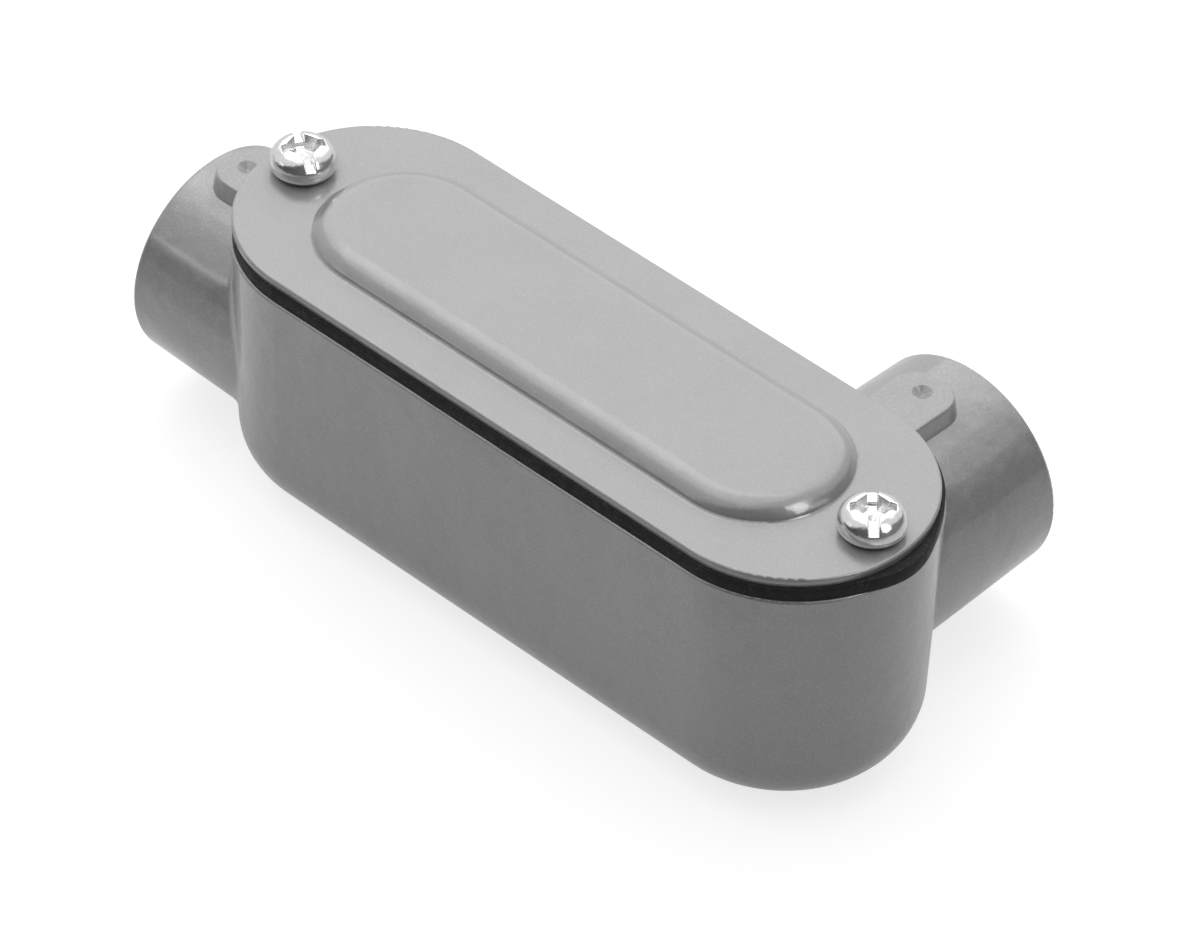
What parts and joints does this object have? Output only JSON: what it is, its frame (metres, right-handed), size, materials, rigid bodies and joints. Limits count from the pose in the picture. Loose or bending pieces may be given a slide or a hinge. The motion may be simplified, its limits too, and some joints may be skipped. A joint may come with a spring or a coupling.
{
  "type": "conduit body",
  "caption": "Cast LR conduit body for half-inch threaded conduit, with an oblong body, an end hub, a side hub and a gasketed screw-on cover.",
  "frame": {"origin": "centre of the housing's flat bottom", "axes": "+X along the housing away from the end hub, +Y towards the side hub, +Z out through the cover"},
  "size_m": [0.1098, 0.0517, 0.0399],
  "materials": {
    "painted_casting": "semi-gloss grey paint with a fine metallic fleck",
    "painted_sheet": "semi-gloss grey paint with a fine metallic fleck",
    "gasket_rubber": "matt black sheet rubber",
    "screw_plating": "bright zinc plating"
  },
  "bodies": {
    "body_casting": {"housing": "painted_casting"},
    "cover_assembly": {"cover": "painted_sheet", "cover_gasket": "gasket_rubber"},
    "hub_end_screw": {"cover_screw_hub_end": "screw_plating"},
    "far_end_screw": {"cover_screw_far_end": "screw_plating"}
  },
  "joints": [
    {"name": "cover_lift", "type": "slide", "parent": "body_casting", "child": "cover_assembly", "axis": [0, 0, 1], "range_m": [0, 0.03]},
    {"name": "hub_end_screw_turn", "type": "hinge", "parent": "cover_assembly", "child": "hub_end_screw", "pos_m": [-0.04445, 0, 0.0362], "axis": [0, 0, 1], "range_deg": [0, 2400]},
    {"name": "far_end_screw_turn", "type": "hinge", "parent": "cover_assembly", "child": "far_end_screw", "pos_m": [0.04385, 0, 0.0362], "axis": [0, 0, 1], "range_deg": [0, 2400]}
  ]
}
